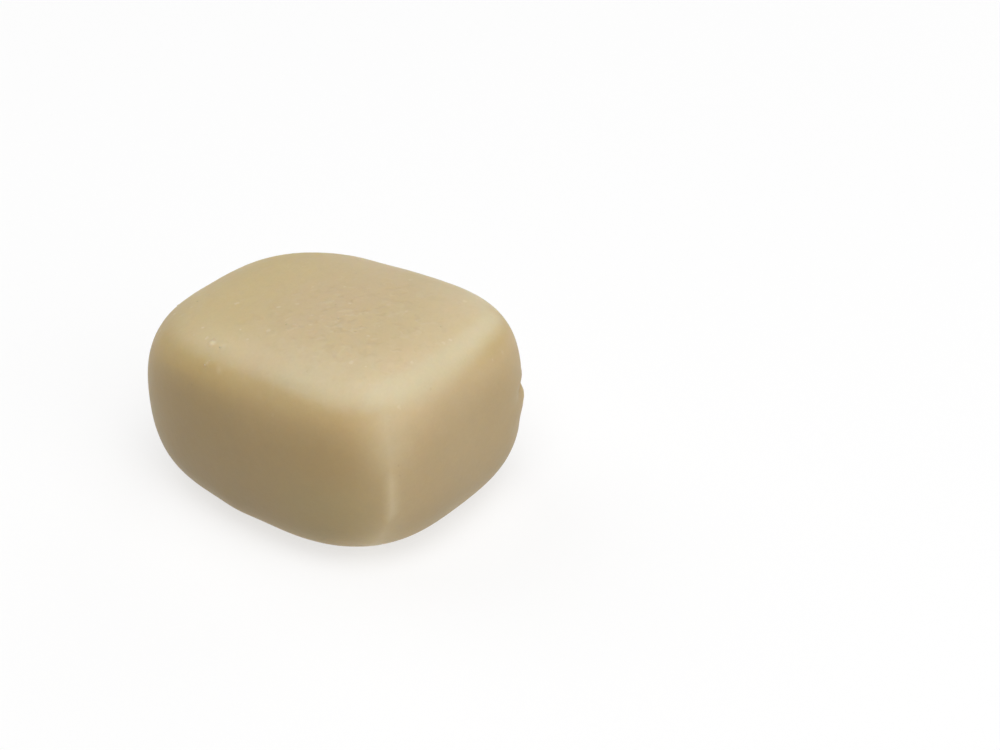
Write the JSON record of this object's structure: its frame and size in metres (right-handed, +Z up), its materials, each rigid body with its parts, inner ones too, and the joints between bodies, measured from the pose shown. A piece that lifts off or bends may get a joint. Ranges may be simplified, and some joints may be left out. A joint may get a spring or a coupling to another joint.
{
  "type": "marzipan bar",
  "caption": "Hand-pressed bar of marzipan with bulging sides, softly rounded edges and a flat base, to eat, slice or knead into other sweets.",
  "frame": {"origin": "middle of the bar's box in plan, on the surface that the bar lies on", "axes": "+X along the bar to its higher end, +Y across it from the long front side to the back, +Z up"},
  "size_m": [0.0778, 0.0634, 0.0454],
  "materials": {
    "marzipan": "waxy cream-beige almond paste, satin at the rubbed edges and faintly mottled on the faces"
  },
  "bodies": {
    "root": {"marzipan_bar": "marzipan"}
  },
  "joints": []
}
